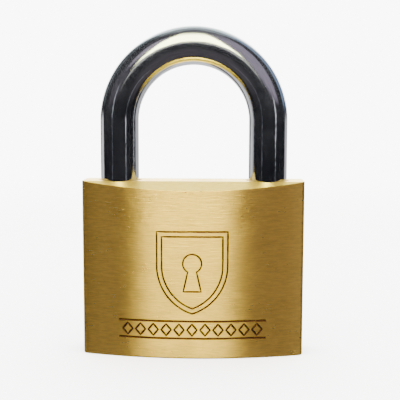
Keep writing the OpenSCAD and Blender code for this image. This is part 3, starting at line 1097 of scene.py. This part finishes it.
@dataclass
class Coil:
    """One coil spring of round wire, wound between the ends of its CAD node."""

    node: str
    body: str
    along: Along
    turns: int
    wire: float
    material: bpy.types.Material

    def build(self) -> None:
        """Winds the spring and puts it in place."""
        low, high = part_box(self.node)
        size, centre = high - low, (low + high) / 2
        length = size.z if self.along is Along.UP else size.x
        ring = size.y / 2 - self.wire
        start = Vector((low.x, centre.y, centre.z))
        if self.along is Along.UP:
            start = Vector((centre.x, centre.y, low.z))
        upright = Matrix.Rotation(HALF_TURN / 2, 4, "X")
        bm = bmesh.new()
        bmesh.ops.create_circle(bm, cap_ends=True, segments=10, radius=self.wire,
                                matrix=Matrix.Translation((ring, 0, self.wire)) @ upright)
        steps = self.turns * 28
        rise = (length - 2 * self.wire) / steps
        bmesh.ops.spin(bm, geom=bm.verts[:] + bm.edges[:] + bm.faces[:], cent=(0, 0, 0), axis=(0, 0, 1),
                       dvec=(0, 0, rise), angle=FULL_TURN * self.turns, steps=steps)
        bmesh.ops.transform(bm, matrix=Matrix.Translation(start) @ self.along.turn(), verts=bm.verts[:])
        piece = new_piece(self.node + "_wound", bm, [self.material])
        install(piece, self.body, "spring_steel", self.node)


@dataclass
class Works:
    """The bolts and the cam, which keep their CAD shape, and the springs."""

    finishes: Finishes
    edge: float = 0.12 * MM

    def build(self) -> None:
        """Dresses the machined pieces and winds the springs."""
        for name in ("toe_bolt", "heel_bolt", "cam"):
            node = frame["nodes"][name]
            node.data.materials.clear()
            node.data.materials.append(self.finishes.steel)
            weld = node.modifiers.new("weld", "WELD")
            weld.merge_threshold = 1e-6
            bevel = node.modifiers.new("edge break", "BEVEL")
            bevel.width = self.edge
            bevel.segments = 2
            bevel.limit_method = "ANGLE"
            bevel.angle_limit = math.radians(45)
            log.info("%s keeps its shape, with its edges broken", name)
        wire = self.finishes.wire
        Coil("shackle_spring", "lock_body", Along.UP, 6, 0.4 * MM, wire).build()
        Coil("bolt_spring", "toe_bolt", Along.RIGHT, 7, 0.16 * MM, wire).build()
        for i in range(1, 6):
            Coil(f"pin_spring_{i}", "lock_body", Along.RIGHT, 8, 0.18 * MM, wire).build()


# ---------------------------------------------------------------- the studio


@dataclass(frozen=True)
class Panel:
    """A soft panel of light, seen in reflections only. Angles are in degrees.

    Its left and right edges are azimuths from the front, at elevation 0, and each leans by
    so many degrees for every degree of elevation. Each edge fades over twice its own width.
    """

    left: float
    right: float
    low: float
    high: float
    strength: float
    colour: Colour = (1.0, 1.0, 1.0)
    side_edge: float = 2.5
    low_edge: float = 2.5
    high_edge: float = 2.5
    left_lean: float = 0.0
    right_lean: float = 0.0


KEY = Panel(-21, 13, 20, 64, 15.5, (1.0, 1.04, 0.50), side_edge=1.0, low_edge=2.0, high_edge=14,
            left_lean=-0.12, right_lean=0.06)
LOW_KEY = Panel(-21, 14, 9, 20, 0.8, (1.0, 1.0, 0.9), side_edge=2.0, low_edge=3.0, high_edge=1.5)
LEFT_GLOW = Panel(-50, -24, 30, 58, 0.55, (1.0, 0.85, 1.0), side_edge=9, low_edge=6, high_edge=8)
LEFT_LOW = Panel(-75, -25, 8, 32, 0.045, (1.0, 0.85, 1.1), side_edge=6, low_edge=4, high_edge=5)
RIGHT_FILL = Panel(17, 72, 12, 68, 0.375, (1.0, 0.84, 1.08), side_edge=3, low_edge=4, high_edge=10)
LEFT_STRIP = Panel(-40.5, -37.5, -40, 1, 0.16, (0.85, 0.92, 1.0), side_edge=0.8, high_edge=2)
LEFT_HOT = Panel(-41, -37, 1, 14, 0.6, (0.9, 0.95, 1.0), side_edge=0.8, low_edge=2, high_edge=4)
RIGHT_STRIP = Panel(42, 45, -40, -2, 0.26, (0.85, 0.92, 1.0), side_edge=0.8, high_edge=2)
RIGHT_HOT = Panel(41.5, 45.5, -2, 10, 1.6, (0.95, 0.97, 1.0), side_edge=0.8, low_edge=2, high_edge=3)
TABLE_RIGHT = Panel(118, 146, -75, 2, 0.9, side_edge=9, low_edge=10, high_edge=4)
TABLE_FRONT = Panel(-70, 70, -75, -20, 0.10, (1.0, 0.90, 0.95), side_edge=15, low_edge=10, high_edge=14)
TABLE_BACK = Panel(150, 210, -75, 4, 1.4, side_edge=8, low_edge=10, high_edge=4)
TABLE_LEFT = Panel(226, 254, -75, 2, 1.2, side_edge=5, low_edge=10, high_edge=4)
BACK_WALL = Panel(150, 210, 5, 38, 9.0, side_edge=10, low_edge=4, high_edge=12)
BACK_SKY = Panel(140, 220, 38, 64, 2.2, (0.84, 1.0, 0.98), side_edge=12, low_edge=8, high_edge=5)
BACK_TOP = Panel(100, 260, 64, 84, 0.5, (0.86, 1.0, 1.02), side_edge=8, low_edge=5, high_edge=6)
BACK_RIGHT = Panel(108, 145, 8, 64, 0.45, (0.62, 0.86, 1.25), side_edge=6, low_edge=5, high_edge=6)
BACK_LEFT = Panel(215, 252, 8, 64, 0.12, (0.8, 1.0, 1.0), side_edge=6, low_edge=5, high_edge=6)
TOP = Panel(-90, 90, 70, 90, 0.16, side_edge=8, low_edge=6, high_edge=1)
PANELS = (KEY, LOW_KEY, TABLE_FRONT, LEFT_GLOW, LEFT_LOW, RIGHT_FILL, LEFT_STRIP, LEFT_HOT, RIGHT_STRIP,
          RIGHT_HOT, TABLE_RIGHT, TABLE_BACK, TABLE_LEFT, BACK_WALL, BACK_SKY, BACK_TOP, BACK_RIGHT,
          BACK_LEFT, TOP)


@dataclass
class Studio:
    """The pale floor, the soft surroundings and the camera."""

    pale: Colour = (0.93, 0.93, 0.93)
    shade_of_room: Colour = (0.007, 0.0075, 0.011)
    daylight: float = 9.0
    azimuth: float = 2.057
    distance: float = 205.0 * MM
    height: float = 55.15 * MM
    pitch: float = 7.0
    yaw: float = -0.412
    roll: float = 0.168
    lens: float = 80.9
    shift_y: float = 0.054
    floor_radius: float = 0.6

    def camera(self) -> None:
        """Makes the camera."""
        data = bpy.data.cameras.new("camera")
        data.lens, data.sensor_width = self.lens, 36.0
        data.shift_y = self.shift_y
        data.clip_start, data.clip_end = 0.01, 10.0
        data.dof.use_dof = False
        camera = bpy.data.objects.new("camera", data)
        bpy.context.scene.collection.objects.link(camera)
        bpy.context.scene.camera = camera
        around, down = math.radians(self.azimuth), math.radians(self.pitch)
        heading = around + math.radians(self.yaw)
        forward = Vector((-math.sin(heading) * math.cos(down), math.cos(heading) * math.cos(down),
                          -math.sin(down)))
        right = forward.cross(Vector((0, 0, 1))).normalized()
        up = right.cross(forward)
        turn = math.radians(self.roll)
        rolled = right * math.cos(turn) + up * math.sin(turn)
        up = up * math.cos(turn) - right * math.sin(turn)
        place = Matrix((rolled, up, -forward)).transposed().to_4x4()
        place.translation = Vector((self.distance * math.sin(around), -self.distance * math.cos(around),
                                    self.height))
        camera.matrix_world = place

    def floor(self) -> None:
        """Makes the pale floor, which mirrors nothing back into the metal."""
        bm = bmesh.new()
        bmesh.ops.create_circle(bm, cap_ends=True, segments=96, radius=self.floor_radius)
        mesh = bpy.data.meshes.new("floor")
        bm.to_mesh(mesh)
        bm.free()
        floor = bpy.data.objects.new("floor", mesh)
        bpy.context.scene.collection.objects.link(floor)
        material = bpy.data.materials.new("pale_floor")
        material.use_nodes = True
        s = Shader(material.node_tree)
        surface = material.node_tree.nodes["Principled BSDF"]
        surface.inputs["Base Color"].default_value = (*self.pale, 1.0)
        surface.inputs["Roughness"].default_value = 0.9
        clear = s.node("BsdfTransparent")
        rays = s.node("LightPath")
        place = s.node("TexCoord").outputs["Object"]
        far = s.node("VectorMath", operation="LENGTH")
        s.link(place, far.inputs[0])
        fade = s.spread(far.outputs["Value"], 0.35 * self.floor_radius, 0.95 * self.floor_radius)
        share = s.math("MAXIMUM", fade, rays.outputs["Is Glossy Ray"])
        share = s.math("MAXIMUM", share, s.node("NewGeometry").outputs["Backfacing"])
        mixed = s.node("MixShader")
        s.link(share, mixed.inputs[0])
        s.link(surface.outputs[0], mixed.inputs[1])
        s.link(clear.outputs[0], mixed.inputs[2])
        s.link(mixed.outputs[0], material.node_tree.nodes["Material Output"].inputs["Surface"])
        mesh.materials.append(material)

    def surroundings(self) -> None:
        """Makes the world: pale to the eye and the floor, a dim room with panels to the metal."""
        world = bpy.data.worlds.new("studio")
        bpy.context.scene.world = world
        world.use_nodes = True
        s = Shader(world.node_tree)
        output = world.node_tree.nodes["World Output"]
        pale = world.node_tree.nodes["Background"]
        pale.inputs["Color"].default_value = (1.0, 1.0, 1.0, 1.0)
        pale.inputs["Strength"].default_value = self.daylight
        direction = s.node("SeparateXYZ")
        s.link(s.node("TexCoord").outputs["Generated"], direction.inputs[0])
        x, y, z = direction.outputs
        azimuth = s.math("MULTIPLY", s.math("ARCTAN2", x, s.math("MULTIPLY", y, -1.0)), 180 / math.pi)
        elevation = s.math("MULTIPLY", s.math("ARCSINE", z), 180 / math.pi)
        light = s.node("RGB").outputs[0]
        light.default_value = (*self.shade_of_room, 1.0)
        for panel in PANELS:
            light = s.mix(1.0, light, self.panel_light(s, panel, azimuth, elevation), "ADD")
        room = s.node("Background")
        s.link(light, room.inputs["Color"])
        rays = s.node("LightPath")
        mixed = s.node("MixShader")
        s.link(rays.outputs["Is Glossy Ray"], mixed.inputs[0])
        s.link(pale.outputs[0], mixed.inputs[1])
        s.link(room.outputs[0], mixed.inputs[2])
        s.link(mixed.outputs[0], output.inputs["Surface"])

    def panel_light(self, s: Shader, panel: Panel, azimuth: bpy.types.NodeSocket,
                    elevation: bpy.types.NodeSocket) -> bpy.types.NodeSocket:
        """Returns the light of one panel in every direction.

        Args:
            s: The world's helper.
            panel: The panel.
            azimuth: The direction's azimuth, in degrees.
            elevation: The direction's elevation, in degrees.
        """
        middle, half = (panel.left + panel.right) / 2, (panel.right - panel.left) / 2
        turned = s.math("WRAP", s.math("SUBTRACT", azimuth, middle), 180.0, -180.0)
        inside = s.math("MULTIPLY",
                        self.past(s, turned, elevation, -half, panel.left_lean, panel.side_edge, 1),
                        self.past(s, turned, elevation, half, panel.right_lean, panel.side_edge, -1))
        for limit, edge, way in ((panel.low, panel.low_edge, 1), (panel.high, panel.high_edge, -1)):
            inside = s.math("MULTIPLY", inside, self.past(s, elevation, elevation, limit, 0.0, edge, way))
        tint = tuple(c * panel.strength for c in panel.colour)
        return s.mix(inside, (0.0, 0.0, 0.0), tint)

    @staticmethod
    def past(s: Shader, value: bpy.types.NodeSocket, elevation: bpy.types.NodeSocket, limit: float,
             lean: float, edge: float, way: int) -> bpy.types.NodeSocket:
        """Returns a soft mask of the side of one edge that a panel lies on.

        Args:
            s: The world's helper.
            value: The angle that the edge is measured in.
            elevation: The direction's elevation.
            limit: The edge, at elevation 0.
            lean: How far the edge moves for each degree of elevation.
            edge: Half the width over which the light fades.
            way: 1 when the panel lies above the edge, -1 when it lies below.
        """
        beyond = s.math("SUBTRACT", value, s.math("MULTIPLY_ADD", elevation, lean, limit))
        return s.spread(s.math("MULTIPLY", beyond, float(way)), -edge, edge)

    def build(self) -> None:
        """Makes the whole studio."""
        self.camera()
        self.floor()
        self.surroundings()


def main() -> None:
    """Builds the studio and the padlock, one sub-assembly after another."""
    logging.basicConfig(level=logging.INFO, format="%(name)s: %(message)s")
    Studio().build()
    finishes = Finishes()
    body = LockBody(finishes)
    body.build()
    body.build_stoppers()
    Shackle(finishes).build()
    Cylinder(finishes).build()
    Works(finishes).build()


if __name__ == "__main__":
    main()
